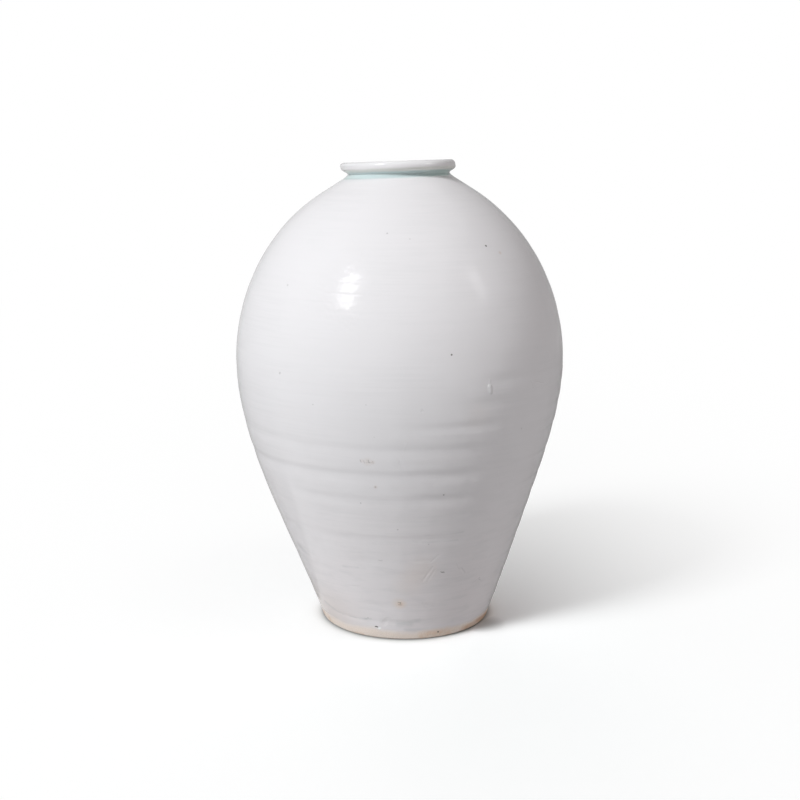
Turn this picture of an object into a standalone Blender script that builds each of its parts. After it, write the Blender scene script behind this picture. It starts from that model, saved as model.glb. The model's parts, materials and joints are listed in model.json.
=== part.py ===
"""A white-glazed meiping vase, thrown in three sections that are keyed and luted together.

Metres, +Z up. The origin is on the ground, under the centre of the belly.
A point of an outline is (radius, height); the outlines are turned about +Z.
"""

import math

import bpy
import numpy as np

# Driving dimensions of the body's outside
belly_radius = 0.1416
belly_height = 0.2310
foot_radius = 0.0741
foot_flare = math.radians(19.4)
foot_reach = 0.1140
belly_reach = 0.0580
shoulder_arc_height = 0.1660
shoulder_arc_turn = math.radians(60.0)
neck_root_radius = 0.0472
neck_root_height = 0.3860

# Driving dimensions of the neck and its rolled lip
waist_radius = 0.0433
waist_rise = 0.0036
lip_radius = 0.0487
lip_rise = 0.0101
lip_crest_radius = 0.0450
neck_height = 0.0140
throat_radius = 0.0370
mouth_roll_depth = 0.0090

# Driving dimensions of the wall, the floor and the turned foot ring
wall_thickness = 0.0078
foot_wall_extra = 0.0035
foot_wall_height = 0.0900
floor_thickness = 0.0120
floor_corner = 0.0160
foot_edge = 0.0016
foot_ring_width = 0.0100
foot_recess_depth = 0.0070
foot_recess_slope = 0.0030

# Driving dimensions of the keyed joints: a tongue on the lower section, a rebate in the upper
body_seam_height = 0.1597
body_tongue_rise = 0.0050
neck_tongue_rise = 0.0020
slip_thickness = 0.0008
joint_clearance = 0.0003

# The ridges that the fingers leave, with a groove at the body seam
ridge_pitch = 0.0195
ridge_depth = 0.0005
ridge_fade = 0.0300
ridge_lowest = 0.0180
ridge_highest = 0.2560

# How the kiln warped the pot: the foot sits to one side, and the mouth is tilted
foot_shift = 0.0049
lean_height = 0.2000
lean_fade = 4.0
mouth_shift = -0.0012
mouth_tilt = math.radians(1.9)
tilt_start_height = 0.3450

# How finely the outlines are turned and drawn
turned_steps = 54
curve_samples = 160
stations_per_ridge = 4
shoulder_station_gap = 0.0125
inside_shoulder_gap = 0.0155
inside_station_gap = 0.0230
least_station_gap = 0.0018
least_neck_gap = 0.0003
corner_steps = 4
mouth_steps = 6
round_share = 0.5523
merge_distance = 0.00001
sharp_edge = math.radians(40)

# Places and sizes that follow
floor_height = foot_recess_depth + floor_thickness
total_height = neck_root_height + neck_height
joint_lift = slip_thickness + 2 * joint_clearance


def bezier(start, start_handle, end_handle, end, steps):
    """Points along a cubic curve, both ends included."""
    points = []
    for step in range(steps + 1):
        t = step / steps
        weights = ((1 - t) ** 3, 3 * t * (1 - t) ** 2, 3 * t * t * (1 - t), t ** 3)
        corners = (start, start_handle, end_handle, end)
        points.append(tuple(sum(w * c[axis] for w, c in zip(weights, corners)) for axis in (0, 1)))
    return points


def rounded_corner(start, corner, end, steps):
    """A round from start to end that would else meet in a sharp corner."""
    handles = []
    for tip in (start, end):
        handles.append(tuple(tip[axis] + round_share * (corner[axis] - tip[axis]) for axis in (0, 1)))
    return bezier(start, handles[0], handles[1], end, steps)


def read_curve(points, height):
    """Radius at a height of a curve whose points rise."""
    heights = [point[1] for point in points]
    radii = [point[0] for point in points]
    return float(np.interp(height, heights, radii))


# The outside of the body

def lower_wall():
    """From the foot, straight at first, up to the belly."""
    foot = (foot_radius, 0.0)
    leaving = (foot_radius + foot_reach * math.sin(foot_flare), foot_reach * math.cos(foot_flare))
    belly = (belly_radius, belly_height)
    arriving = (belly_radius, belly_height - belly_reach)
    return bezier(foot, leaving, arriving, belly, curve_samples)


def shoulder_draw(rise):
    """Share by which the shoulder has drawn in at a rise over the belly: an arc, then a straight."""
    arc_end = shoulder_arc_height * math.sin(shoulder_arc_turn)
    on_arc = min(rise, arc_end)
    turn = math.asin(on_arc / shoulder_arc_height)
    return 1 - math.cos(turn) + math.tan(turn) * (rise - on_arc) / shoulder_arc_height


def shoulder_radius(height):
    whole = shoulder_draw(neck_root_height - belly_height)
    share = shoulder_draw(height - belly_height) / whole
    return belly_radius - (belly_radius - neck_root_radius) * share


def body_curve():
    """The smooth outside from the foot to the root of the neck, before the ridges."""
    shoulder_heights = np.linspace(belly_height, neck_root_height, curve_samples + 1)[1:]
    return lower_wall() + [(shoulder_radius(h), float(h)) for h in shoulder_heights]


def ridge_groove(height):
    """How deep the fingers have pressed the wall in at a height."""
    low_end = (height - ridge_lowest) / ridge_fade
    high_end = (ridge_highest - height) / ridge_fade
    strength = max(0.0, min(1.0, low_end, high_end))
    wave = math.cos(2 * math.pi * (height - body_seam_height) / ridge_pitch)
    return ridge_depth * strength * (1 + wave) / 2


smooth_body = body_curve()


# The outside of the neck and lip, from the root up to the crest

def neck_curve():
    root = (neck_root_radius, neck_root_height)
    waist = (waist_radius, neck_root_height + waist_rise)
    widest = (lip_radius, neck_root_height + lip_rise)
    crest = (lip_crest_radius, total_height)
    below_root = smooth_body[-2]
    cone_slope = (below_root[0] - root[0]) / (root[1] - below_root[1])
    corner = (waist_radius, root[1] + min(waist_rise, (neck_root_radius - waist_radius) / cone_slope))
    reach = round_share * (widest[1] - waist[1])
    hollow = rounded_corner(root, corner, waist, corner_steps)
    underside = bezier(waist, (waist[0], waist[1] + reach), (widest[0], widest[1] - reach), widest,
                       corner_steps + 1)
    roll = rounded_corner(widest, (lip_radius, total_height), crest, corner_steps)
    return hollow + underside[1:] + roll[1:]


outside_neck = neck_curve()


def outer_radius(height):
    if height > neck_root_height:
        return read_curve(outside_neck, height)
    return read_curve(smooth_body, height) - ridge_groove(height)


# The inside: the outside moved in by the wall, with an upright throat under the mouth

def wall_at(height):
    """Thickness of the wall, which grows towards the foot."""
    share = max(0.0, 1 - height / foot_wall_height)
    return wall_thickness + foot_wall_extra * share ** 2


def inside_curve():
    """The offset of the outside, run on straight past its end until it meets the throat."""
    points = []
    for (r0, h0), (r1, h1) in zip(smooth_body, smooth_body[1:]):
        length = math.hypot(r1 - r0, h1 - h0)
        wall = wall_at((h0 + h1) / 2)
        points.append(((r0 + r1) / 2 - wall * (h1 - h0) / length, (h0 + h1) / 2 + wall * (r1 - r0) / length))
    (r0, h0), (r1, h1) = points[-2:]
    points.append((throat_radius, h1 + (r1 - throat_radius) * (h1 - h0) / (r0 - r1)))
    return points


inside_body = inside_curve()
throat_foot_height = inside_body[-1][1]


def inner_radius(height):
    if height > throat_foot_height:
        return throat_radius
    return read_curve(inside_body, height)


# Heights at which the outlines have points

def ridge_stations():
    step = ridge_pitch / stations_per_ridge
    first = math.ceil((ridge_lowest - body_seam_height) / step)
    last = math.floor((ridge_highest - body_seam_height) / step)
    return [body_seam_height + index * step for index in range(first, last + 1)]


def even_stations(low, high, gap):
    count = max(1, round((high - low) / gap))
    return [low + (high - low) * index / count for index in range(count + 1)]


outside_stations = ridge_stations() + even_stations(ridge_highest, neck_root_height, shoulder_station_gap)
inside_stations = (even_stations(floor_height + floor_corner, belly_height, inside_station_gap)
                   + even_stations(belly_height, throat_foot_height, inside_shoulder_gap)[1:])


def stretch(stations, radius_at, low, high):
    """Outline points from low up to high, both included, with those stations that lie well between."""
    between = [h for h in stations if low + least_station_gap < h < high - least_station_gap]
    return [(radius_at(h), h) for h in [low] + between + [high]]


# The keyed joints

class Joint:
    """A tongue on the wall's inner half, the rebate over it, and the slip between them."""

    def __init__(self, seam_height, tongue_rise):
        self.seam = seam_height
        self.rise = tongue_rise
        inner = inner_radius(self.seam + self.rise)
        outer = min(outer_radius(self.seam), outer_radius(self.seam + self.rise + joint_lift))
        self.key = (inner + outer - joint_lift) / 2

    def step(self, lift):
        """The stepped face at a lift above the lower section's own, from the outside in."""
        ledge = self.seam + lift
        top = ledge + self.rise
        return [(outer_radius(ledge), ledge), (self.key + lift, ledge),
                (self.key + lift, top), (inner_radius(top), top)]

    def bottom(self, lift):
        return self.seam + lift

    def top(self, lift):
        return self.seam + self.rise + lift


body_joint = Joint(body_seam_height, body_tongue_rise)
neck_joint = Joint(neck_root_height, neck_tongue_rise)


# Outlines of the pieces: each runs down its outer side

def lower_body_outline():
    """Floor, inner wall, tongue, ridged outer wall, foot ring and the recess under the floor."""
    corner_top = floor_height + floor_corner
    floor_edge = inner_radius(floor_height)
    floor = [(0.0, floor_height)]
    floor += rounded_corner((floor_edge - floor_corner, floor_height), (floor_edge, floor_height),
                            (inner_radius(corner_top), corner_top), corner_steps)
    inside = stretch(inside_stations, inner_radius, corner_top, body_joint.top(0))[1:]
    tongue = body_joint.step(0)[::-1][1:]
    outside = stretch(outside_stations, outer_radius, foot_edge, body_joint.bottom(0))[::-1][1:]
    edge = rounded_corner(outside[-1], (foot_radius, 0.0), (foot_radius - foot_edge, 0.0),
                          corner_steps - 1)[1:]
    ring_inside = foot_radius - foot_edge - foot_ring_width
    recess = [(ring_inside, 0.0), (ring_inside - foot_recess_slope, foot_recess_depth),
              (0.0, foot_recess_depth)]
    return floor + inside + tongue + outside + edge + recess


def upper_body_outline():
    """Belly and shoulder, open above and below."""
    rebate = body_joint.step(joint_lift)
    inside = stretch(inside_stations, inner_radius, body_joint.top(joint_lift), throat_foot_height)[1:]
    collar = neck_joint.step(0)[::-1]
    outside = stretch(outside_stations, outer_radius, body_joint.bottom(joint_lift),
                      neck_joint.bottom(0))[::-1][1:-1]
    return rebate + inside + collar + outside


def neck_outline():
    """The collar that carries the rolled lip."""
    rebate = neck_joint.step(joint_lift)
    crest = (lip_crest_radius, total_height)
    roll_foot = (throat_radius, total_height - mouth_roll_depth)
    mouth = rounded_corner(roll_foot, (throat_radius, total_height), crest, mouth_steps)
    outside = [point for point in outside_neck if point[1] > rebate[0][1] + least_neck_gap]
    return rebate + mouth + outside[::-1][1:]


def slip_outline(joint):
    """The slip keeps its clearance to the tongue below and to the rebate above."""
    under = joint.step(joint_clearance)
    over = joint.step(joint_clearance + slip_thickness)
    return under + over[::-1]


# From outline to piece

def warped(point):
    """Where the kiln leaves a point of the true-turned pot."""
    x, y, z = point
    lean = foot_shift * (1 - min(1.0, z / lean_height) ** 2) ** lean_fade
    tilt_share = max(0.0, (z - tilt_start_height) / (total_height - tilt_start_height)) ** 2
    tilt = math.tan(mouth_tilt) * tilt_share
    return x + lean + mouth_shift * tilt_share - tilt * (z - neck_root_height), y, z + tilt * x


def glaze_or_clay(name, color, roughness, coat):
    material = bpy.data.materials.new(name)
    material.use_nodes = True
    shader = material.node_tree.nodes["Principled BSDF"]
    shader.inputs["Base Color"].default_value = color
    shader.inputs["Roughness"].default_value = roughness
    shader.inputs["Metallic"].default_value = 0.0
    shader.inputs["Coat Weight"].default_value = coat
    return material


def turned_piece(name, outline, meets_axis, material):
    """Turn an outline about +Z with a Screw modifier, then warp it as the kiln did."""
    points = [(radius, 0.0, height) for radius, height in outline]
    edges = [(index, index + 1) for index in range(len(points) - 1)]
    if not meets_axis:
        edges.append((len(points) - 1, 0))
    profile = bpy.data.meshes.new(name + "_profile")
    profile.from_pydata(points, edges, [])
    blank = bpy.data.objects.new(name + "_blank", profile)
    vase.objects.link(blank)
    screw = blank.modifiers.new("turned", "SCREW")
    screw.axis = "Z"
    screw.angle = 2 * math.pi
    screw.steps = turned_steps
    screw.render_steps = turned_steps
    screw.use_merge_vertices = True
    screw.merge_threshold = merge_distance

    evaluated = blank.evaluated_get(bpy.context.evaluated_depsgraph_get())
    mesh = bpy.data.meshes.new_from_object(evaluated)
    mesh.name = name
    bpy.data.objects.remove(blank)
    for vertex in mesh.vertices:
        vertex.co = warped(vertex.co)
    mesh.shade_smooth()
    mesh.set_sharp_from_angle(angle=sharp_edge)
    mesh.materials.clear()
    mesh.materials.append(material)
    piece = bpy.data.objects.new(name, mesh)
    vase.objects.link(piece)
    return piece


for old in list(bpy.data.objects):
    bpy.data.objects.remove(old)

vase = bpy.data.collections.new("meiping_vase")
bpy.context.scene.collection.children.link(vase)

white_glaze = glaze_or_clay("white_glaze", (0.80, 0.81, 0.83, 1.0), 0.16, 0.5)
shoulder_glaze = glaze_or_clay("shoulder_glaze", (0.83, 0.84, 0.86, 1.0), 0.14, 0.5)
neck_glaze = glaze_or_clay("neck_glaze", (0.70, 0.80, 0.79, 1.0), 0.12, 0.6)
fired_slip = glaze_or_clay("fired_slip", (0.66, 0.58, 0.50, 1.0), 0.80, 0.0)

turned_piece("lower_body", lower_body_outline(), True, white_glaze)
turned_piece("upper_body", upper_body_outline(), False, shoulder_glaze)
turned_piece("neck", neck_outline(), False, neck_glaze)
turned_piece("body_seam_slip", slip_outline(body_joint), False, fired_slip)
turned_piece("neck_seam_slip", slip_outline(neck_joint), False, fired_slip)
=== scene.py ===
# %% [markdown]
# # A white-glazed meiping vase
# A meiping is a tall vase with a narrow foot, a full shoulder and a small collar with a rolled lip.
# A pot of this size is thrown on the wheel in sections. They are joined with wet clay, and the
# glaze then runs over the joints.
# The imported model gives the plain, true-turned form. This lesson dresses it: a fine mesh with the
# potter's finger ridges, a thick white glaze, a pool of green glaze round the neck and a bare foot.

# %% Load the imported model
import math

import bpy
import numpy as np
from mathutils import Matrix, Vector
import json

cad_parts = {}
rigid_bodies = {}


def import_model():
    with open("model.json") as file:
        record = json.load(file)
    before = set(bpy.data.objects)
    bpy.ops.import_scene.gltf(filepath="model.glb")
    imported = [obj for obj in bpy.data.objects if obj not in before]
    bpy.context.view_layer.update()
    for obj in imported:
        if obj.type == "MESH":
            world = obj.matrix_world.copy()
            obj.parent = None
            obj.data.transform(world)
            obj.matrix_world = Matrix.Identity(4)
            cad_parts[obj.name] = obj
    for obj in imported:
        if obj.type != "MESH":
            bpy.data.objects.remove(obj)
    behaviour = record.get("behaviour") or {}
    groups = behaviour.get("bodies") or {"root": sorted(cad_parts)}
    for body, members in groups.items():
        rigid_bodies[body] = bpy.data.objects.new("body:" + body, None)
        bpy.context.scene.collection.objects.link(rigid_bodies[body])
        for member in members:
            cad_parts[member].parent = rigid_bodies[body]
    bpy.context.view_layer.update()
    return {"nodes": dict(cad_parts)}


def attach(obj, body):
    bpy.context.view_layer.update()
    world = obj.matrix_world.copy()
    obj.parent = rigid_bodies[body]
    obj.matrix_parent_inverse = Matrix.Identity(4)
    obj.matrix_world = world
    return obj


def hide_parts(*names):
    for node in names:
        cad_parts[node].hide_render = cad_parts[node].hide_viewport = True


for old in list(bpy.data.objects):
    bpy.data.objects.remove(old)
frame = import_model()
print("packed pieces:", sorted(frame["nodes"]))

# %% [markdown]
# ## The outline that the potter follows
# On the real pot a wooden rib or a trained hand keeps this line. It could be drawn by eye with a
# curve object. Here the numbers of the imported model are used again, so that the dressed vase and
# the plain one have the same form. A point of an outline is (radius, height), in metres.

# %% Sizes of the body, the neck, the wall and the foot
belly_radius = 0.1416
belly_height = 0.2310
foot_radius = 0.0741
foot_flare = math.radians(19.4)
foot_reach = 0.1140
belly_reach = 0.0580
shoulder_arc_height = 0.1660
shoulder_arc_turn = math.radians(60.0)
neck_root_radius = 0.0472
neck_root_height = 0.3860
waist_radius = 0.0433
waist_rise = 0.0036
lip_radius = 0.0487
lip_rise = 0.0101
lip_crest_radius = 0.0450
total_height = 0.4000
throat_radius = 0.0370
mouth_roll_depth = 0.0090
wall_thickness = 0.0078
foot_wall_extra = 0.0035
foot_wall_height = 0.0900
floor_height = 0.0190
floor_corner = 0.0160
foot_edge = 0.0016
foot_ring_width = 0.0100
foot_recess_depth = 0.0070
foot_recess_slope = 0.0030
body_seam_height = 0.1597
body_tongue_rise = 0.0050
neck_tongue_rise = 0.0020
round_share = 0.5523
curve_samples = 400


# %% Two ways to draw a line: a cubic curve, and a corner made round
def bezier(start, start_handle, end_handle, end, steps):
    corners = np.array((start, start_handle, end_handle, end))
    t = np.linspace(0.0, 1.0, steps + 1)[:, None]
    weights = np.hstack(((1 - t) ** 3, 3 * t * (1 - t) ** 2, 3 * t * t * (1 - t), t ** 3))
    return weights @ corners


def rounded_corner(start, corner, end, steps):
    start, corner, end = (np.array(point) for point in (start, corner, end))
    return bezier(start, start + round_share * (corner - start), end + round_share * (corner - end),
                  end, steps)


# %% The outside of the body, from the foot to the root of the neck
def shoulder_draw(rise):
    """Share by which the shoulder has drawn in at a rise over the belly: an arc, then a straight."""
    on_arc = np.minimum(rise, shoulder_arc_height * math.sin(shoulder_arc_turn))
    turn = np.arcsin(on_arc / shoulder_arc_height)
    return 1 - np.cos(turn) + np.tan(turn) * (rise - on_arc) / shoulder_arc_height


lower_wall = bezier((foot_radius, 0.0),
                    (foot_radius + foot_reach * math.sin(foot_flare), foot_reach * math.cos(foot_flare)),
                    (belly_radius, belly_height - belly_reach), (belly_radius, belly_height), curve_samples)
shoulder_heights = np.linspace(belly_height, neck_root_height, curve_samples + 1)[1:]
drawn_in = (shoulder_draw(shoulder_heights - belly_height)
            / shoulder_draw(neck_root_height - belly_height))
shoulder = np.column_stack((belly_radius - (belly_radius - neck_root_radius) * drawn_in,
                            shoulder_heights))
body_line = np.vstack((lower_wall, shoulder))


def outer_radius(height):
    return np.interp(height, body_line[:, 1], body_line[:, 0])


print("outside points:", len(body_line), "widest radius, mm:", round(body_line[:, 0].max() * 1000, 2))

# %% The collar and its rolled lip, from the root up to the crest
root = np.array((neck_root_radius, neck_root_height))
waist = np.array((waist_radius, neck_root_height + waist_rise))
widest = np.array((lip_radius, neck_root_height + lip_rise))
crest = np.array((lip_crest_radius, total_height))
cone_slope = (body_line[-2, 0] - root[0]) / (root[1] - body_line[-2, 1])
hollow_corner = (waist_radius, root[1] + min(waist_rise, (neck_root_radius - waist_radius) / cone_slope))
underside_rise = widest[1] - waist[1]
waist_handle, widest_handle = np.array((0.0, 0.35 * underside_rise)), np.array((0.0, 0.72 * underside_rise))
neck_steps = 18
collar = np.vstack((
    rounded_corner(root, hollow_corner, waist, neck_steps),
    bezier(waist, waist + waist_handle, widest - widest_handle, widest, neck_steps)[1:],
    rounded_corner(widest, (lip_radius, total_height), crest, neck_steps)[1:],
))
mouth_foot = (throat_radius, total_height - mouth_roll_depth)
mouth_roll = rounded_corner(mouth_foot, (throat_radius, total_height), crest, neck_steps)
print("collar points:", len(collar), "mouth points:", len(mouth_roll))

# %% The inside: the outside moved in by the wall, with an upright throat under the mouth
along = np.diff(body_line, axis=0)
middle = (body_line[1:] + body_line[:-1]) / 2
thicker = foot_wall_extra * np.maximum(0.0, 1 - middle[:, 1] / foot_wall_height) ** 2
inward = np.column_stack((-along[:, 1], along[:, 0])) / np.linalg.norm(along, axis=1)[:, None]
inside_line = middle + inward * (wall_thickness + thicker)[:, None]
last_run = (inside_line[-2] - inside_line[-1]) / (inside_line[-2, 0] - inside_line[-1, 0])
throat_foot = inside_line[-1] - last_run * (inside_line[-1, 0] - throat_radius)
inside_line = np.vstack((inside_line, throat_foot))


def inner_radius(height):
    return np.interp(height, inside_line[:, 1], inside_line[:, 0])


print("throat starts at, mm:", round(throat_foot[1] * 1000, 2))


# %% Outline points at an even pace along a line
outside_pace = 0.0008
inside_pace = 0.0040


def paced(radius_at, low, high, pace):
    """Points from low to high whose spacing along the line is about the pace."""
    heights = np.linspace(low, high, curve_samples)
    line = np.column_stack((radius_at(heights), heights))
    reach = np.concatenate(([0.0], np.cumsum(np.linalg.norm(np.diff(line, axis=0), axis=1))))
    stops = np.linspace(0.0, reach[-1], max(2, round(reach[-1] / pace) + 1))
    heights = np.interp(stops, reach, heights)
    return np.column_stack((radius_at(heights), heights))


# %% [markdown]
# ## The three thrown sections
# The lower section has the floor, the turned foot ring and a tongue on its upper edge. The belly
# and shoulder sit over that tongue, and the collar sits on the shoulder in the same way.
# The joints are closed here: on the finished pot the clay slip has filled them and the glaze
# hides them, so the sections share one ring of points at each joint.

# %% The stepped joint between two sections, from the outside in
def tongue(seam, rise):
    key = (inner_radius(seam + rise) + min(outer_radius(seam), outer_radius(seam + rise))) / 2
    return np.array(((outer_radius(seam), seam), (key, seam), (key, seam + rise),
                     (inner_radius(seam + rise), seam + rise)))


body_joint = tongue(body_seam_height, body_tongue_rise)
neck_joint = tongue(neck_root_height, neck_tongue_rise)
print("tongue of the body joint, mm:", np.round(body_joint * 1000, 2).tolist())

# %% Outline of the lower section, with turning marks under the foot
corner_top = floor_height + floor_corner
floor_edge = inner_radius(floor_height)
ring_inside = foot_radius - foot_edge - foot_ring_width
turning_marks = 18
turning_depth = 0.00025
recess_radii = np.linspace(ring_inside - foot_recess_slope, 0.0, turning_marks * 4 + 1)
recess_heights = foot_recess_depth - turning_depth * (
    1 - np.cos(2 * math.pi * turning_marks * recess_radii / recess_radii[0])) / 2
lower_outline = np.vstack((
    np.column_stack((np.linspace(0.0, floor_edge - floor_corner, 12)[:-1], np.full(11, floor_height))),
    rounded_corner((floor_edge - floor_corner, floor_height), (floor_edge, floor_height),
                   (inner_radius(corner_top), corner_top), 10),
    paced(inner_radius, corner_top, body_seam_height + body_tongue_rise, inside_pace)[1:-1],
    body_joint[::-1],
    paced(outer_radius, foot_edge, body_seam_height, outside_pace)[::-1][1:],
    rounded_corner((outer_radius(foot_edge), foot_edge), (foot_radius, 0.0),
                   (foot_radius - foot_edge, 0.0), 5)[1:],
    np.array(((foot_radius - foot_edge - foot_ring_width / 2, 0.0), (ring_inside, 0.0))),
    np.column_stack((recess_radii, recess_heights)),
))
print("lower section:", len(lower_outline), "outline points")

# %% Outline of the belly and shoulder, and of the collar
upper_outline = np.vstack((
    body_joint,
    paced(inner_radius, body_seam_height + body_tongue_rise, throat_foot[1], inside_pace)[1:],
    neck_joint[::-1],
    paced(outer_radius, body_seam_height, neck_root_height, outside_pace)[::-1][1:],
))
neck_outline = np.vstack((
    neck_joint,
    mouth_roll,
    collar[::-1][1:],
))
print("shoulder:", len(upper_outline), "outline points, collar:", len(neck_outline))

# %% [markdown]
# ## Turning an outline
# A lathe shape can come from a Screw modifier or from the Spin tool. Spin is used here, because it
# is what a hand would do in edit mode: one point is pulled along the outline, and the line is then
# spun round the upright axis. Points that fall on each other are merged, and the faces are turned
# outwards after that.

# %% A line of points pulled out of one vertex, then spun
turn_steps = 240
merge_distance = 0.000002
crease_angle = math.radians(35)


def turn(name, outline, steps=turn_steps, angle=2 * math.pi):
    bpy.ops.object.select_all(action="DESELECT")
    bpy.ops.mesh.primitive_plane_add(size=0.001, location=(0.0, 0.0, 0.0))
    piece = bpy.context.object
    piece.name = name
    piece.data.name = name
    bpy.ops.object.mode_set(mode="EDIT")
    bpy.ops.mesh.select_all(action="SELECT")
    bpy.ops.mesh.merge(type="CENTER")
    bpy.ops.transform.translate(value=(outline[0][0], 0.0, outline[0][1]))
    for step in np.diff(outline, axis=0):
        bpy.ops.mesh.extrude_region_move(TRANSFORM_OT_translate={"value": (step[0], 0.0, step[1])})
    bpy.ops.mesh.select_all(action="SELECT")
    bpy.ops.mesh.spin(steps=steps, angle=angle, center=(0, 0, 0), axis=(0, 0, 1))
    bpy.ops.mesh.select_all(action="SELECT")
    bpy.ops.mesh.remove_doubles(threshold=merge_distance)
    bpy.ops.mesh.normals_make_consistent(inside=False)
    bpy.ops.object.mode_set(mode="OBJECT")
    bpy.ops.object.shade_smooth_by_angle(angle=crease_angle)
    print(name, "has", len(piece.data.vertices), "points and", len(piece.data.polygons), "faces")
    return piece


# %% The three sections on the wheel
lower_body = turn("lower_body_glazed", lower_outline)
upper_body = turn("upper_body_glazed", upper_outline)
neck = turn("neck_glazed", neck_outline)

# %% [markdown]
# ## What the kiln did
# In the fire the clay softens. The foot of this vase has slid to one side, and the mouth has
# tilted. The whole pot is also a hair out of round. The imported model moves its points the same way.
# The same move gives the place on the finished wall of any angle and height, for the marks below.

# %% The kiln's warp, and a place on the outside by angle and height
foot_shift = 0.0049
lean_height = 0.2000
lean_fade = 4.0
mouth_shift = -0.0012
mouth_tilt = math.radians(1.9)
tilt_start_height = 0.3450
out_of_round = 0.9980


def warp(x, y, z):
    lean = foot_shift * (1 - np.minimum(1.0, z / lean_height) ** 2) ** lean_fade
    share = np.maximum(0.0, (z - tilt_start_height) / (total_height - tilt_start_height)) ** 2
    tilt = math.tan(mouth_tilt) * share
    return np.column_stack((x + lean + mouth_shift * share - tilt * (z - neck_root_height), y, z + tilt * x))


def on_wall(angle, height):
    """A place on the outside, from degrees round the pot and mm above the table."""
    turned, z = math.radians(angle), np.array([height / 1000])
    radius = outer_radius(z)
    place = warp(radius * math.sin(turned), -radius * math.cos(turned) * out_of_round, z)
    return tuple(place[0].tolist())


print("front of the belly, mm:", [round(v * 1000, 1) for v in on_wall(0, 231)])

# %% [markdown]
# ## Finger ridges
# As the potter pulls the wall up, the fingers leave shallow grooves. They are strongest in the
# lower half of this vase, fade on the shoulder, and come and go round the pot. The upper edge of a
# groove is steeper than its lower edge, because the fingers push the clay upwards.
# They could be a bump in the material, but low light shows them as real form, so they go into the
# mesh. A sculpting hand would do this with a brush; here each arc of a groove is one line of a table.

# %% Grooves on the front, one arc each
# height, depth, half width above and below, in mm, then middle and reach round the pot in degrees
front_grooves = (
    (318.8, 0.13, 2.2, 3.5, 57, 11),
    (309.2, 0.20, 1.2, 1.8, -16, 9),
    (300.2, 0.28, 1.0, 1.5, -19, 9),
    (305.0, 0.10, 0.9, 1.2, -12, 6),
    (293.0, 0.10, 0.8, 1.2, -27, 7),
    (276.5, 0.06, 1.3, 2.4, 50, 7),
    (260.8, 0.08, 1.1, 2.0, 56, 7),
    (232.0, 0.54, 4.8, 5.5, 37, 9),
    (229.8, 0.13, 1.8, 3.0, -8, 34),
    (221.4, 0.07, 1.0, 1.4, -28, 12),
    (215.0, 0.36, 4.8, 5.0, 33, 9),
    (198.0, 0.25, 3.1, 5.0, 12, 16),
    (197.6, 0.43, 4.6, 5.0, 27, 9),
    (198.5, 0.09, 3.1, 4.0, -45, 25),
    (180.6, 0.31, 3.4, 4.5, -40, 24),
    (180.0, 0.32, 3.4, 5.5, 4, 26),
    (178.8, 0.25, 4.3, 5.0, 25, 9),
    (168.6, 0.07, 1.7, 2.0, 6, 8),
    (156.4, 0.30, 3.6, 6.0, -60, 16),
    (158.2, 0.49, 3.4, 7.0, -32, 26),
    (157.7, 0.47, 3.4, 7.0, 8, 30),
    (156.6, 0.43, 5.3, 5.5, 21, 10),
    (135.4, 0.36, 3.4, 5.5, -28, 22),
    (136.4, 0.40, 3.4, 6.0, 12, 20),
    (136.2, 0.36, 4.1, 5.0, 17, 11),
    (122.6, 0.20, 3.1, 4.0, -30, 13),
    (118.0, 0.16, 2.9, 3.6, -4, 12),
    (119.5, 0.24, 6.0, 4.5, 23, 7),
    (100.0, 0.20, 3.4, 5.0, -46, 22),
    (100.4, 0.30, 3.1, 5.0, -6, 22),
    (100.8, 0.24, 2.6, 4.0, 10, 9),
    (98.0, 0.32, 3.6, 4.5, 22, 9),
    (90.4, 0.14, 2.2, 2.6, -38, 6),
    (79.0, 0.26, 2.9, 3.6, -18, 13),
    (79.6, 0.20, 1.9, 2.4, 9, 6),
    (74.0, 0.22, 4.8, 5.0, -60, 10),
    (63.2, 0.20, 4.3, 4.5, -46, 12),
    (66.2, 0.20, 2.6, 3.6, 6, 14),
    (46.6, 0.18, 2.6, 3.4, 12, 10),
    (34.8, 0.24, 2.4, 5.0, -13, 13),
    (34.6, 0.20, 3.1, 3.4, 13, 8),
    (28.5, 0.20, 2.4, 3.0, -54, 10),
    (17.6, 0.32, 1.4, 2.2, -38, 14),
    (18.6, 0.30, 1.7, 2.4, -8, 12),
    (18.8, 0.20, 1.7, 2.6, 20, 14),
    (9.0, 0.20, 1.9, 2.2, -56, 16),
    (8.6, 0.18, 1.7, 2.2, 13, 9),
)

# %% Grooves on the sides and the back, drawn by lot at the same levels
# height and depth, in mm
ring_levels = (
    (318.0, 0.08), (276.0, 0.07), (231.0, 0.22), (215.0, 0.20), (198.0, 0.30), (180.0, 0.36),
    (157.6, 0.48), (136.0, 0.42), (119.0, 0.24), (100.4, 0.30), (79.0, 0.26), (65.0, 0.22),
    (46.0, 0.17), (34.6, 0.20), (18.0, 0.24), (9.0, 0.14),
)
first_hidden_angle, last_hidden_angle, arcs_per_level = 78, 255, 6
groove_dice = np.random.default_rng(23)
hidden_grooves = []
for level, depth in ring_levels:
    for middle in np.linspace(first_hidden_angle, last_hidden_angle, arcs_per_level):
        hidden_grooves.append((
            level + groove_dice.uniform(-1.6, 1.6), depth * groove_dice.uniform(0.4, 1.4),
            groove_dice.uniform(2.0, 3.8), groove_dice.uniform(3.6, 6.5),
            middle + groove_dice.uniform(-12, 12), groove_dice.uniform(14, 30)))
print(len(front_grooves), "arcs in front and", len(hidden_grooves), "round the back")

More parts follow.
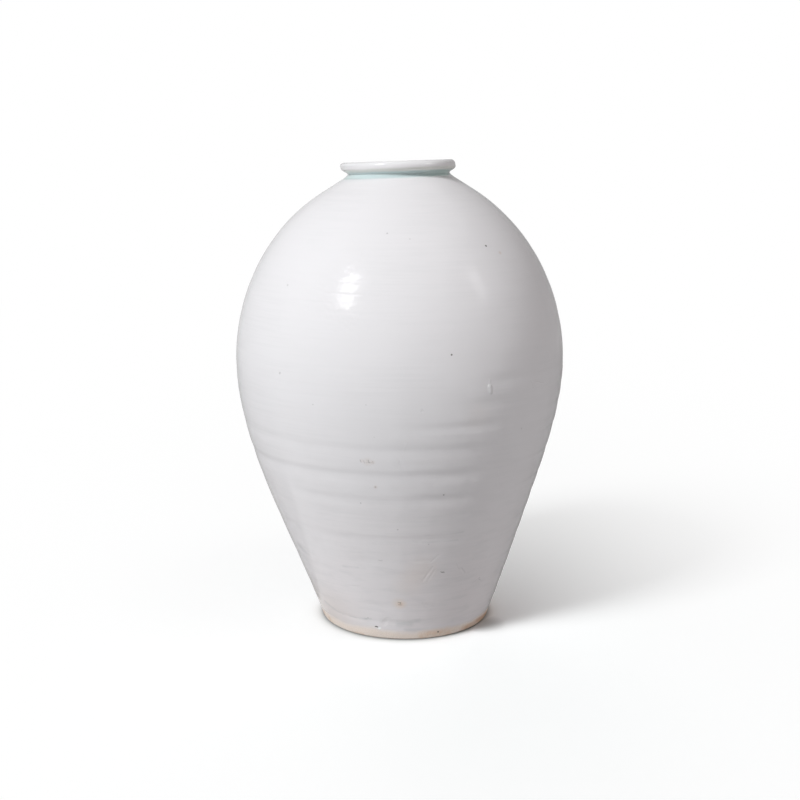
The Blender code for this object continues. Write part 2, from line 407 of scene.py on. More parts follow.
# %% Fine riffles from the grain of the clay under the fingers, and slow lumps
riffle_count = 260
lump_count = 26
riffle_dice = np.random.default_rng(41)
riffles = np.column_stack((
    riffle_dice.uniform(14, 350, riffle_count),
    riffle_dice.uniform(0.004, 0.016, riffle_count),
    riffle_dice.uniform(0.8, 1.8, riffle_count),
    riffle_dice.uniform(1.0, 2.6, riffle_count),
    riffle_dice.uniform(-180, 180, riffle_count),
    riffle_dice.uniform(8, 34, riffle_count),
))
lumps = np.column_stack((
    riffle_dice.uniform(0.010, 0.022, lump_count),
    riffle_dice.integers(1, 9, lump_count),
    riffle_dice.uniform(18, 46, lump_count),
    riffle_dice.uniform(0, 2 * math.pi, lump_count),
))


# %% How far the fingers have pressed the wall in
skin = 0.0002


def pressed_in(angle, height):
    """Depth in metres, from the angle round the pot and the height of each point."""
    degrees, level_mm = np.degrees(angle), height * 1000
    depth = np.zeros_like(height)
    for level, deep, above, below, middle, reach in (*front_grooves, *hidden_grooves, *riffles):
        beside = (degrees - middle + 180) % 360 - 180
        away = level_mm - level - 0.4 * np.sin(angle * 2 + level)
        across = np.where(away > 0, away / above, away / below)
        depth += deep * np.exp(-(beside / reach) ** 2 - across ** 2)
    for deep, lobes, spacing, start in lumps:
        depth += deep * np.sin(lobes * angle + start + level_mm * 2 * math.pi / spacing)
    return np.maximum(depth, 0.0) / 1000


# %% [markdown]
# ## Pressing and warping the mesh
# Only the outside of the body takes the grooves. They fade out at the foot and under the collar, so
# the joints of the sections stay closed. The lip was rolled by hand: its upper edge is squarer on
# the left, its underside is fuller on the right, and it is nowhere quite round.

# %% The uneven lip
lip_corner = 0.0006
lip_belly = 0.0005
lip_wave = 0.00018


def uneven_lip(x, y, z):
    """Move the points of the lip a little, and leave its crest and its root where they are."""
    radius, angle = np.hypot(x, y), np.arctan2(x, -y)
    out = np.clip((radius - lip_crest_radius) / (lip_radius - lip_crest_radius), 0, 1)
    up = np.clip((z - widest[1]) / (total_height - widest[1]), 0, 1)
    corner = 2 * out * up * (1 - up) * 2 * np.clip(-np.sin(angle), 0, 1)
    below = np.clip((widest[1] - z) / underside_rise, 0, 1)
    belly = 4 * below * (1 - below) * np.clip(np.sin(angle) + 0.3, 0, 1) * (radius > waist_radius)
    wave = (np.sin(3 * angle + 0.5) + 0.7 * np.sin(7 * angle + 2.0)) * out * (z > waist[1])
    wider = radius + lip_corner * corner + lip_belly * belly + lip_wave * wave
    stretch = np.where(radius > 0, wider / np.maximum(radius, skin), 1.0)
    return x * stretch, y * stretch, z + lip_corner * corner * 0.6


# %% Press the grooves in, then warp the points
foot_fade, neck_fade = 0.006, 0.010


def press_and_warp(piece):
    points = np.empty(len(piece.data.vertices) * 3)
    piece.data.vertices.foreach_get("co", points)
    x, y, z = points.reshape(-1, 3).T.copy()
    radius = np.hypot(x, y)
    angle = np.arctan2(x, -y)
    on_outside = (radius > outer_radius(z) - skin) & (z < neck_root_height + skin) & (z > foot_edge / 2)
    fade = np.clip((z - foot_edge) / foot_fade, 0, 1) * np.clip((neck_root_height - z) / neck_fade, 0, 1)
    pressed = np.where(on_outside, pressed_in(angle, z) * fade, 0.0)
    shrink = np.where(radius > 0, 1 - pressed / np.maximum(radius, skin), 1.0)
    if piece is neck:
        x, y, z = uneven_lip(x, y, z)
    piece.data.vertices.foreach_set("co", warp(x * shrink, y * shrink * out_of_round, z).ravel())
    piece.data.update()
    print(piece.name, "pressed in by up to", round(pressed.max() * 1000, 2), "mm")


for piece in (lower_body, upper_body, neck):
    press_and_warp(piece)

# %% [markdown]
# ## Nodes by name
# Every finish below is a net of small nodes. A helper adds one node, sets it and feeds its inputs
# with numbers or with other nodes' outputs. A second helper starts a node group, which is a net
# with named inputs and outputs that several materials can use, each with its own values.

# %% Helpers for nodes
def add(tree, kind, inputs=None, **settings):
    node = tree.nodes.new(kind)
    for name, value in settings.items():
        setattr(node, name, value)
    for socket, value in (inputs or {}).items():
        if isinstance(value, bpy.types.NodeSocket):
            tree.links.new(value, node.inputs[socket])
        else:
            node.inputs[socket].default_value = value
    return node


def calc(tree, operation, *values, clamp=False):
    inputs = dict(enumerate(values))
    return add(tree, "ShaderNodeMath", inputs, operation=operation, use_clamp=clamp).outputs[0]


def vector_calc(tree, operation, *values, output="Vector", scale=None):
    inputs = dict(enumerate(values))
    if scale is not None:
        inputs["Scale"] = scale
    return add(tree, "ShaderNodeVectorMath", inputs, operation=operation).outputs[output]


def ramp(tree, value, low, high, out_low=0.0, out_high=1.0):
    """Smoothly from one value to another as the input goes from low to high."""
    return add(tree, "ShaderNodeMapRange",
               {"Value": value, "From Min": low, "From Max": high, "To Min": out_low, "To Max": out_high},
               interpolation_type="SMOOTHSTEP").outputs["Result"]


def soft_step(tree, value, level, softness, out_low=0.0, out_high=1.0):
    """The same, from a softness under a level to as much over it."""
    low, high = (calc(tree, sign, level, softness) for sign in ("SUBTRACT", "ADD"))
    return ramp(tree, value, low, high, out_low, out_high)


def noise(tree, place, scale, detail, roughness):
    inputs = {"Vector": place, "Scale": scale, "Detail": detail, "Roughness": roughness}
    return add(tree, "ShaderNodeTexNoise", inputs).outputs["Fac"]


def blend_color(tree, mask, first, second):
    node = add(tree, "ShaderNodeMix", data_type="RGBA", clamp_factor=True)
    for socket, value in ((node.inputs[0], mask), (node.inputs[6], first), (node.inputs[7], second)):
        if isinstance(value, bpy.types.NodeSocket):
            tree.links.new(value, socket)
        else:
            socket.default_value = value
    return node.outputs[2]


# %% Helpers that start a material or a node group, and one that uses a group
def start_material(name):
    """A new material, its nodes, and the place of each point that it colours."""
    material = bpy.data.materials.new(name)
    material.use_nodes = True
    tree = material.node_tree
    return material, tree, add(tree, "ShaderNodeTexCoord").outputs["Object"]


def start_group(name, inputs, outputs):
    """A new group, what it is given (first the place of a point), and its results to feed."""
    group = bpy.data.node_groups.new(name, "ShaderNodeTree")
    for socket, kind, value in (("Place", "Vector", (0, 0, 0)), *inputs):
        made = group.interface.new_socket(name=socket, in_out="INPUT", socket_type="NodeSocket" + kind)
        made.default_value = value
    for socket, kind in outputs:
        group.interface.new_socket(name=socket, in_out="OUTPUT", socket_type="NodeSocket" + kind)
    return group, group.nodes.new("NodeGroupInput").outputs, group.nodes.new("NodeGroupOutput").inputs


def use(tree, group, **inputs):
    named = {name.replace("_", " "): value for name, value in inputs.items()}
    return add(tree, "ShaderNodeGroup", named, node_tree=bpy.data.node_groups[group]).outputs


# %% [markdown]
# ## Marks that the wheel leaves
# Under the ridges the surface carries hundreds of fine lines, all level, none quite complete. Noise
# that is stretched round the pot gives them: it changes fast with height and slowly sideways.

# %% Group: level lines from throwing
tree, given, result = start_group(
    "throwing_lines",
    (("Lines per metre", "Float", 300.0), ("Drift per metre", "Float", 5.0), ("Detail", "Float", 3.0)),
    (("Height", "Float"),))
stretch = add(tree, "ShaderNodeCombineXYZ",
              {"X": given["Drift per metre"], "Y": given["Drift per metre"], "Z": given["Lines per metre"]})
stretched = vector_calc(tree, "MULTIPLY", given["Place"], stretch.outputs[0])
tree.links.new(noise(tree, stretched, 1.0, given["Detail"], 0.55), result["Height"])
print(tree.name, "has", len(tree.nodes), "nodes")

# %% [markdown]
# ## Bands, spots and strokes
# Glaze ends in a wavy line over the foot, and pools in a wavy band at the neck: both are a height
# between two levels, disturbed by slow noise. Iron specks and pits are round spots at a place, and
# scratches and runs are strokes between two places. Each of these is a mask from 0 to 1.

# %% Group: a level band with wavy edges
tree, given, result = start_group(
    "wavy_band",
    (("Low", "Float", 0.0), ("High", "Float", 0.01), ("Softness", "Float", 0.001),
     ("Waviness", "Float", 0.001), ("Waves per metre", "Float", 20.0)),
    (("Mask", "Float"),))
waves = noise(tree, given["Place"], given["Waves per metre"], 4.0, 0.6)
height = add(tree, "ShaderNodeSeparateXYZ", {"Vector": given["Place"]}).outputs["Z"]
swing = calc(tree, "MULTIPLY", calc(tree, "SUBTRACT", waves, 0.5),
             calc(tree, "MULTIPLY", given["Waviness"], 4.0))
waved = calc(tree, "ADD", height, swing)
over_low = soft_step(tree, waved, given["Low"], given["Softness"])
under_high = soft_step(tree, waved, given["High"], given["Softness"], 1.0, 0.0)
tree.links.new(calc(tree, "MULTIPLY", over_low, under_high), result["Mask"])

# %% Group: a round spot at a place
tree, given, result = start_group(
    "round_spot",
    (("Centre", "Vector", (0, 0, 0)), ("Radius", "Float", 0.001), ("Edge", "Float", 0.4),
     ("Unevenness", "Float", 0.0)),
    (("Mask", "Float"),))
away = vector_calc(tree, "DISTANCE", given["Place"], given["Centre"], output="Value")
reach = calc(tree, "ADD", calc(tree, "DIVIDE", away, given["Radius"]), given["Unevenness"])
tree.links.new(soft_step(tree, reach, 1.0, given["Edge"], 1.0, 0.0), result["Mask"])

# %% Group: a stroke from one place to another
tree, given, result = start_group(
    "stroke",
    (("Start", "Vector", (0, 0, 0)), ("End", "Vector", (0, 0, 0.01)), ("Half width", "Float", 0.0005),
     ("Edge", "Float", 0.5)),
    (("Mask", "Float"),))
whole = vector_calc(tree, "SUBTRACT", given["End"], given["Start"])
part = vector_calc(tree, "SUBTRACT", given["Place"], given["Start"])
share = calc(tree, "DIVIDE", vector_calc(tree, "DOT_PRODUCT", part, whole, output="Value"),
             vector_calc(tree, "DOT_PRODUCT", whole, whole, output="Value"), clamp=True)
nearest = vector_calc(tree, "SCALE", whole, scale=share)
beside = vector_calc(tree, "DISTANCE", part, nearest, output="Value")
reach = calc(tree, "DIVIDE", beside, given["Half width"])
tree.links.new(soft_step(tree, reach, 1.0, given["Edge"], 1.0, 0.0), result["Mask"])

# %% Group: small specks scattered all over
tree, given, result = start_group(
    "scattered_specks",
    (("Specks per metre", "Float", 60.0), ("Size", "Float", 0.05), ("Share", "Float", 0.3)),
    (("Mask", "Float"), ("Shade", "Float")))
cells = add(tree, "ShaderNodeTexVoronoi",
            {"Vector": given["Place"], "Scale": given["Specks per metre"], "Randomness": 1.0}).outputs
dice = add(tree, "ShaderNodeSeparateColor", {"Color": cells["Color"]}).outputs
chosen = calc(tree, "LESS_THAN", dice["Red"], given["Share"])
size = calc(tree, "MULTIPLY", given["Size"], calc(tree, "ADD", 0.4, dice["Green"]))
near = ramp(tree, calc(tree, "DIVIDE", cells["Distance"], size), 0.6, 1.2, 1.0, 0.0)
tree.links.new(calc(tree, "MULTIPLY", near, chosen), result["Mask"])
tree.links.new(dice["Blue"], result["Shade"])

# %% Group: the grain and stain of fired stoneware
tree, given, result = start_group(
    "clay_grain",
    (("Pale", "Color", (0.8, 0.7, 0.6, 1)), ("Flashed", "Color", (0.7, 0.5, 0.35, 1)),
     ("Flashing", "Float", 0.5)),
    (("Color", "Color"), ("Height", "Float")))
sand_brown = (0.30, 0.22, 0.16, 1)
stains = noise(tree, given["Place"], 34.0, 5.0, 0.6)
sand = noise(tree, given["Place"], 1400.0, 3.0, 0.7)
stained = calc(tree, "ADD", ramp(tree, stains, 0.40, 0.66), calc(tree, "SUBTRACT", given["Flashing"], 0.5),
               clamp=True)
toned = blend_color(tree, stained, given["Pale"], given["Flashed"])
grained = blend_color(tree, ramp(tree, sand, 0.35, 0.62, 0.16, 0.0), toned, sand_brown)
tree.links.new(grained, result["Color"])
tree.links.new(sand, result["Height"])
print("groups:", [group.name for group in bpy.data.node_groups])

# %% [markdown]
# ## Marks of this one pot
# A pot is known by its blemishes: iron specks that burned through the glaze, open pits, a rusty
# ring near the foot, one short run of glaze, a few scratches and the grey streaks where the glaze
# thins out over the foot. Each is a row with its place on the wall: degrees from the front, and
# millimetres above the table. It stays with the pot from every side.

# %% Specks and stains
# angle, height mm, radius mm, how strongly it shows
iron_specks = (
    (39.0, 334.2, 0.85, 0.90),
    (16.5, 255.0, 0.65, 0.80),
    (-5.5, 344.9, 0.70, 0.26),
    (4.4, 340.7, 0.60, 0.18),
    (-44.6, 303.7, 0.90, 0.16),
    (-41.9, 235.8, 1.00, 0.20),
    (-28.6, 214.2, 0.60, 0.18),
    (-10.5, 217.0, 0.50, 0.16),
    (-8.2, 191.0, 0.50, 0.12),
    (45.7, 189.0, 0.80, 0.14),
    (-8.7, 148.2, 0.60, 0.34),
    (-15.0, 132.9, 0.55, 0.45),
    (16.3, 139.9, 0.65, 0.70),
    (-1.3, 109.8, 0.60, 0.26),
    (11.6, 95.2, 0.55, 0.22),
    (-9.5, 79.6, 0.80, 0.10),
    (19.6, 66.7, 0.90, 0.25),
    (-22.8, 19.9, 0.60, 0.30),
    (21.6, 5.8, 0.80, 0.80),
)
tan_stains = (
    (45.3, 328.4, 1.30, 0.22),
    (-10.8, 169.9, 3.00, 0.12),
    (-12.8, 170.6, 1.30, 0.10),
    (-9.0, 169.7, 1.50, 0.12),
    (-8.7, 148.2, 1.30, 0.16),
    (-2.6, 36.9, 1.60, 0.22),
)
rusty_halos = (
    (-3.5, 37.6, 4.60, 0.26),
    (-1.8, 36.4, 3.60, 0.26),
    (8.6, 70.0, 12.00, 0.12),
    (2.0, 56.0, 11.00, 0.09),
    (26.0, 205.0, 9.00, 0.05),
)
# angle, height mm, radius mm, depth mm
pits = (
    (-18.1, 11.8, 0.80, 0.50),
    (7.0, 212.6, 1.10, 0.22),
    (19.6, 66.4, 1.00, 0.20),
    (16.5, 255.0, 0.70, 0.15),
    (39.0, 334.2, 0.90, 0.12),
    (-41.9, 235.4, 1.10, 0.10),
    (-44.6, 303.7, 1.00, 0.08),
)
print(len(iron_specks), "iron specks,", len(tan_stains), "tan stains and", len(pits), "pits")

# %% Strokes: runs of glaze, scratches and a finger crease
# start angle and height, end angle and height, half width, and how far the glaze stands up there:
# angles in degrees, the rest in mm
strokes = (
    (29.6, 233.0, 29.7, 231.0, 0.8, 0.20),
    (29.8, 228.2, 30.1, 223.8, 1.5, 0.90),
    (2.3, 186.0, 1.2, 178.0, 0.9, -0.05),
    (0.5, 174.0, -0.5, 165.0, 1.0, -0.08),
    (-11.3, 171.0, -10.0, 168.4, 0.5, -0.15),
    (14.0, 72.5, 9.5, 59.5, 0.9, -0.14),
    (15.2, 69.5, 12.1, 59.0, 0.8, -0.10),
    (16.3, 84.0, 13.5, 78.0, 0.8, -0.12),
    (26.0, 72.5, 27.6, 67.5, 0.7, -0.14),
    (29.4, 67.5, 31.7, 62.5, 0.8, -0.20),
    (40.3, 50.0, 43.4, 52.6, 0.8, -0.18),
    (43.4, 52.6, 45.7, 47.6, 0.7, -0.14),
    (-28.0, 50.6, -23.8, 51.6, 0.7, -0.14),
    (-13.3, 15.0, -10.5, 20.8, 1.8, -0.20),
    (47.6, 228.0, 49.4, 221.0, 0.4, -0.10),
    (50.2, 226.4, 55.6, 223.0, 0.4, -0.10),
)
# the same, with how strongly the streak greys the glaze in place of the height
grey_streaks = (
    (-58.0, 23.0, -42.0, 17.5, 1.1, 0.40),
    (-36.0, 17.2, -24.0, 18.4, 0.8, 0.40),
    (-25.0, 18.6, -21.0, 19.2, 0.8, 0.30),
    (-14.0, 18.6, 8.0, 19.6, 1.9, 0.22),
    (-4.0, 16.4, 3.0, 15.6, 2.4, 0.26),
    (0.0, 10.6, 14.0, 9.4, 1.4, 0.22),
    (8.2, 34.6, 15.2, 34.0, 2.2, 0.16),
    (9.8, 36.8, 10.8, 34.4, 0.9, 0.34),
    (11.4, 36.4, 13.0, 35.6, 0.8, 0.30),
    (10.8, 33.6, 12.6, 32.0, 0.9, 0.28),
    (-30.0, 70.0, -22.0, 70.8, 1.0, 0.22),
    (-12.0, 97.0, 6.0, 97.6, 1.6, 0.12),
    (10.0, 104.0, 27.0, 103.4, 0.7, 0.20),
    (11.0, 100.6, 28.0, 100.2, 0.6, 0.20),
    (9.0, 97.2, 25.0, 96.6, 0.7, 0.20),
    (-62.0, 76.0, -54.0, 70.0, 2.4, 0.22),
)
# The first row is painted shade inside the pit at -18 degrees; the other rows are dark marks in the glaze
dark_strokes = (
    (-18.9, 11.9, -17.5, 11.7, 0.50, 0.95),
    (-3.6, 38.6, -2.3, 38.3, 0.35, 0.40),
    (-2.2, 38.2, -2.4, 37.0, 0.35, 0.35),
    (-3.4, 36.2, -1.8, 35.9, 0.45, 0.22),
    (18.3, 67.4, 19.1, 66.6, 0.36, 0.40),
    (19.0, 66.5, 20.1, 66.2, 0.48, 0.42),
    (-10.9, 79.9, -9.8, 79.5, 0.40, 0.17),
    (-13.4, 171.4, -13.1, 169.4, 0.30, 0.26),
    (-12.2, 170.8, -11.9, 168.8, 0.28, 0.20),
    (-10.6, 171.6, -10.3, 169.2, 0.32, 0.30),
    (-9.1, 170.6, -8.9, 169.0, 0.28, 0.20),
    (-11.5, 169.2, -9.4, 169.6, 0.28, 0.15),
    (43.0, 52.0, 44.4, 50.8, 0.40, 0.20),
)
# Painted highlight: two white spots on the lower rim of the pit at -18 degrees
painted_glint_spots = (
    (-16.6, 10.4, 1.10, 0.90),
    (-15.8, 11.0, 0.80, 0.70),
)
print(len(strokes), "strokes and", len(grey_streaks), "grey streaks")


# %% Masks for whole tables of marks
def added_up(tree, masks):
    """Add up the masks of a table, each with its own weight."""
    total = 0.0
    for mask, weight in masks:
        total = calc(tree, "MULTIPLY_ADD", mask, weight, total)
    return total


def spots(tree, place, uneven, rows, edge):
    return added_up(tree, (
        (use(tree, "round_spot", Place=place, Centre=on_wall(angle, height), Radius=radius / 1000,
             Edge=edge, Unevenness=uneven)["Mask"], weight)
        for angle, height, radius, weight in rows))


def streaks(tree, place, rows, edge):
    return added_up(tree, (
        (use(tree, "stroke", Place=place, Start=on_wall(angle, height), End=on_wall(end_angle, end_height),
             Half_width=half_width / 1000, Edge=edge)["Mask"], weight)
        for angle, height, end_angle, end_height, half_width, weight in rows))


# %% [markdown]
# ## The glaze
# The real glaze is glassy, thick and faintly cool, over a pale stoneware that warms it where it
# lies thin. One Principled shader gives both the colour and the gloss of the glass: smooth where the
# glaze lies, rough where the clay is bare. The colour, the roughness and the bump all come from masks
# of place, so the three sections match at their joints. One recipe serves the body and the neck: the
# body's copy also carries the marks.

# %% Colours of the glaze, the pool, the clay and the marks
glaze_white = (0.822, 0.792, 0.808, 1)
glaze_thin = (0.826, 0.774, 0.786, 1)
lip_white = (0.835, 0.808, 0.820, 1)
pool_green = (0.58, 0.69, 0.695, 1)
# the pool's colour on its right side, which is painted shade
pool_painted_shade = (0.50, 0.63, 0.60, 1)
clay_pale = (0.90, 0.79, 0.72, 1)
clay_flashed = (0.78, 0.56, 0.41, 1)
# the iron specks, and also the painted shade in the pits
iron_and_pit_shade_brown = (0.045, 0.030, 0.022, 1)
tan_brown = (0.52, 0.31, 0.17, 1)
rust_halo = (0.84, 0.66, 0.53, 1)
streak_grey = (0.46, 0.47, 0.475, 1)
# the band under the lip: partly the glaze's own olive tint, partly painted shade under the rolled lip
lip_olive_and_shade = (0.66, 0.68, 0.59, 1)
clay_blush = (0.62, 0.53, 0.49, 1)
# painted shade at the foot's lower edge, where it stands on the table
edge_shade_brown = (0.16, 0.12, 0.09, 1)
pin_brown = (0.30, 0.21, 0.15, 1)
# painted highlight on the rim of a pit
painted_glint_white = (0.98, 0.98, 0.98, 1)
print("glaze:", glaze_white[:3], "clay:", clay_pale[:3])


# %% Noises and lines that the colour and the form of the glaze share
# lines per metre upwards, drift per metre sideways, detail
line_patterns = {"broad": (90.0, 8.0, 4.0), "fine": (430.0, 16.0, 3.0), "smears": (170.0, 42.0, 5.0)}


def surface_grain(tree, place):
    grain = {"clouds": noise(tree, place, 14.0, 4.0, 0.55), "ripple": noise(tree, place, 180.0, 2.0, 0.5)}
    grain["patchy"] = ramp(tree, grain["clouds"], 0.36, 0.62, 0.15, 1.0)
    for name, (lines, drift, detail) in line_patterns.items():
        grain[name] = use(tree, "throwing_lines", Place=place, Lines_per_metre=lines,
                          Drift_per_metre=drift, Detail=detail)["Height"]
    return grain


# %% Colour of the glaze: thinner and warmer low down, streaked, smeared and pinned with iron
thin_top = 0.110
streak_strength, smear_strength = 0.050, 0.12


def glaze_color(tree, place, grain, white):
    low_down = use(tree, "wavy_band", Place=place, Low=-0.10, High=thin_top, Softness=thin_top,
                   Waviness=0.012, Waves_per_metre=12.0)["Mask"]
    thin = calc(tree, "MULTIPLY", low_down, ramp(tree, grain["clouds"], 0.30, 0.65, 0.45, 1.0))
    color = blend_color(tree, thin, white, glaze_thin)
    streaked = ramp(tree, grain["fine"], 0.40, 0.66, 0.0, streak_strength)
    smeared = ramp(tree, grain["smears"], 0.46, 0.70, 0.0, smear_strength)
    for mask, where in ((streaked, grain["patchy"]), (smeared, low_down)):
        color = blend_color(tree, calc(tree, "MULTIPLY", mask, where), color, streak_grey)
    pins = use(tree, "scattered_specks", Place=place, Specks_per_metre=26.0, Size=0.030, Share=0.30)
    pinned = calc(tree, "MULTIPLY", pins["Mask"], ramp(tree, pins["Shade"], 0.2, 1.0, 0.06, 0.45))
    return blend_color(tree, pinned, color, pin_brown)


# %% The green pool under the lip, along the tilt of the mouth, and the run on its left
# low edge, high edge and softness, in metres
pool_band = (0.3867, 0.3918, 0.0009)
under_lip_band = (0.3912, 0.3944, 0.0010)
pool_tilt = -0.042
pool_strength, olive_and_shade_strength, run_strength = 0.85, 0.45, 0.36


def with_pool(tree, axes, color):
    level = calc(tree, "MULTIPLY_ADD", axes["X"], pool_tilt, axes["Z"])
    tilted = add(tree, "ShaderNodeCombineXYZ", {"X": axes["X"], "Y": axes["Y"], "Z": level}).outputs[0]
    pool, under_lip = (
        use(tree, "wavy_band", Place=tilted, Low=low, High=high, Softness=softness, Waviness=0.0004,
            Waves_per_metre=60.0)["Mask"] for low, high, softness in (pool_band, under_lip_band))
    # The band under the lip's widest point is olive and darker: partly the glaze's tint where it thickens
    # towards the pool, partly painted shade under the rolled lip
    color = blend_color(tree, calc(tree, "MULTIPLY", under_lip, olive_and_shade_strength), color, lip_olive_and_shade)
    run_down = calc(tree, "MULTIPLY", ramp(tree, axes["Z"], 0.3815, 0.3880),
                    ramp(tree, axes["X"], -0.002, -0.038, 0.0, run_strength))
    run_down = calc(tree, "MULTIPLY", run_down, ramp(tree, axes["Z"], 0.3875, 0.3895, 1.0, 0.0))
    # Painted shade: the pool turns darker towards the right, where it lies in shade
    pool_color = blend_color(tree, ramp(tree, axes["X"], 0.005, 0.040), pool_green, pool_painted_shade)
    green = calc(tree, "MAXIMUM", calc(tree, "MULTIPLY", pool, pool_strength), run_down)
    return blend_color(tree, green, color, pool_color)


# %% The foot: a blush on the left, and bare clay that the fire has flashed on the right
bare_top, bare_softness, bare_waviness = 0.0080, 0.0036, 0.0024
blush_strength = 0.62


def with_blush(tree, axes, color):
    blush = calc(tree, "MULTIPLY", ramp(tree, axes["X"], -0.015, -0.075, 0.0, blush_strength),
                 ramp(tree, axes["Z"], 0.010, 0.055, 1.0, 0.0))
    return blend_color(tree, blush, color, clay_blush)


def bare_clay(tree, place, axes):
    bare = use(tree, "wavy_band", Place=place, Low=-0.10, High=bare_top, Softness=bare_softness,
               Waviness=bare_waviness, Waves_per_metre=26.0)["Mask"]
    flashing = calc(tree, "ADD", ramp(tree, axes["X"], 0.030, 0.070, 0.12, 0.80),
                    ramp(tree, axes["X"], -0.030, -0.068, 0.0, 0.10))
    clay = use(tree, "clay_grain", Place=place, Pale=clay_pale, Flashed=clay_flashed, Flashing=flashing)
    return bare, clay


# %% Form of the glaze: the depth of each pattern in mm
pattern_depths = {"ripple": 0.035, "clouds": 0.25}
broad_depth, fine_depth, clay_depth = 0.085, 0.030, 0.15


def glaze_height(tree, grain):
    height = calc(tree, "MULTIPLY", grain["broad"], broad_depth)
    fine = calc(tree, "MULTIPLY", grain["fine"], grain["patchy"])
    height = calc(tree, "MULTIPLY_ADD", fine, fine_depth, height)
    for name, depth in pattern_depths.items():
        height = calc(tree, "MULTIPLY_ADD", grain[name], depth, height)
    return height


# %% The marks in colour: stains lie under the clay's edge; iron, scratches, and the painted shade and highlight of the pits over everything
def with_stains(tree, place, uneven, grain, color):
    greyed = streaks(tree, place, grey_streaks, 1.0)
    broken = ramp(tree, grain["smears"], 0.40, 0.60, 0.10, 1.0)
    color = blend_color(tree, calc(tree, "MULTIPLY", greyed, broken), color, streak_grey)
    for rows, tint in ((rusty_halos, rust_halo), (tan_stains, tan_brown)):
        color = blend_color(tree, spots(tree, place, uneven, rows, 0.8), color, tint)
    return color


def with_iron(tree, place, uneven, hollow, color):
    # Painted highlight on the pit's lower rim
    bright = spots(tree, place, uneven, painted_glint_spots, 0.5)
    color = blend_color(tree, bright, color, painted_glint_white)
    iron = spots(tree, place, uneven, iron_specks, 0.45)
    scored = streaks(tree, place, dark_strokes, 0.6)
    # The deeper pits are darkened too: painted shade in the holes
    dark = calc(tree, "MAXIMUM", calc(tree, "MAXIMUM", iron, scored), calc(tree, "SUBTRACT", hollow, 0.15))
    return blend_color(tree, dark, color, iron_and_pit_shade_brown)


# %% The marks in form: pits, runs and scratches, and the dimpled patch where the lamp gleams
dimpled_place, dimpled_radius = on_wall(-18, 304), 0.034
dimple_scale, dimple_depth = 300.0, 0.14


def marked_height(tree, place, hollow, height):
    height = calc(tree, "SUBTRACT", height, hollow)
    dimples = calc(tree, "MULTIPLY", noise(tree, place, dimple_scale, 0.0, 0.5), dimple_depth)
    dimpled = use(tree, "round_spot", Place=place, Centre=dimpled_place, Radius=dimpled_radius,
                  Edge=0.5)["Mask"]
    height = calc(tree, "MULTIPLY_ADD", dimpled, dimples, height)
    return calc(tree, "ADD", height, streaks(tree, place, strokes, 0.7))


# %% One recipe for every glazed section
# Painted shade: the lowest two millimetres of the foot, where it stands on the table, are darkened towards
# brown
edge_shade_low, edge_shade_high, edge_shade_strength = 0.0002, 0.0021, 0.30
clay_roughness = 0.85


def glaze_material(name, marked, white, gloss_roughness, gloss_ior):
    material, tree, place = start_material(name)
    shader = tree.nodes["Principled BSDF"]
    shader.inputs["IOR"].default_value = gloss_ior
    axes = add(tree, "ShaderNodeSeparateXYZ", {"Vector": place}).outputs
    grain = surface_grain(tree, place)
    bare, clay = bare_clay(tree, place, axes)

    color = with_blush(tree, axes, with_pool(tree, axes, glaze_color(tree, place, grain, white)))
    height = glaze_height(tree, grain)
    if marked:
        uneven = calc(tree, "SUBTRACT", noise(tree, place, 900.0, 2.0, 0.6), 0.5)
        hollow = spots(tree, place, uneven, pits, 0.55)
        color = with_stains(tree, place, uneven, grain, color)
        height = marked_height(tree, place, hollow, height)
    color = blend_color(tree, bare, color, clay["Color"])
    # Painted shade at the foot's lower edge
    edge_shaded = ramp(tree, axes["Z"], edge_shade_low, edge_shade_high, edge_shade_strength, 0.0)
    color = blend_color(tree, edge_shaded, color, edge_shade_brown)
    if marked:
        color = with_iron(tree, place, uneven, hollow, color)
    height = calc(tree, "MULTIPLY_ADD", bare, calc(tree, "MULTIPLY", clay["Height"], clay_depth), height)

    bump = add(tree, "ShaderNodeBump", {"Height": height, "Strength": 1.0, "Distance": 0.001})
    tree.links.new(color, shader.inputs["Base Color"])
    tree.links.new(ramp(tree, bare, 0.0, 1.0, gloss_roughness, clay_roughness), shader.inputs["Roughness"])
    tree.links.new(bump.outputs["Normal"], shader.inputs["Normal"])
    print(name, "has", len(tree.nodes), "nodes")
    return material


# %% Glaze on the body and the neck
body_glaze = glaze_material("white_glaze", marked=True, white=glaze_white,
                            gloss_roughness=0.12, gloss_ior=1.28)
neck_glaze = glaze_material("neck_glaze", marked=False, white=lip_white,
                            gloss_roughness=0.09, gloss_ior=1.70)
for piece, material, slot, nodes in (
        (lower_body, body_glaze, "white_glaze", ("lower_body", "body_seam_slip")),
        (upper_body, body_glaze, "white_glaze", ("upper_body",)),
        (neck, neck_glaze, "neck_glaze", ("neck", "neck_seam_slip"))):
    piece.data.materials.clear()
    piece.data.materials.append(material)
    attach(piece, "root")
    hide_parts(*nodes)

# %% [markdown]
# ## The table and the light
# The vase stands on a plain white sweep under one large soft lamp at the upper left. The floor keeps
# the vase's shadow. It is shown white by its own colour where a camera, a gloss or a glass looks at
# it, and it throws back only a plain light. Away from the shadow it fades to an even white, as a
# photographer's sweep does when it is lit a little more than the pot. Its colour is darkened within a
# few millimetres of the foot and in a patch at the foot's front right: painted shade, for the contact
# shadow. From below it is see-through, so that the foot can be looked at too.

# %% Rays that look at a surface, as against rays that carry its light to the pot
def looking_rays(tree):
    path = add(tree, "ShaderNodeLightPath").outputs
    looking = calc(tree, "MAXIMUM", path["Is Camera Ray"], path["Is Glossy Ray"])
    return calc(tree, "MAXIMUM", looking, path["Is Transmission Ray"])


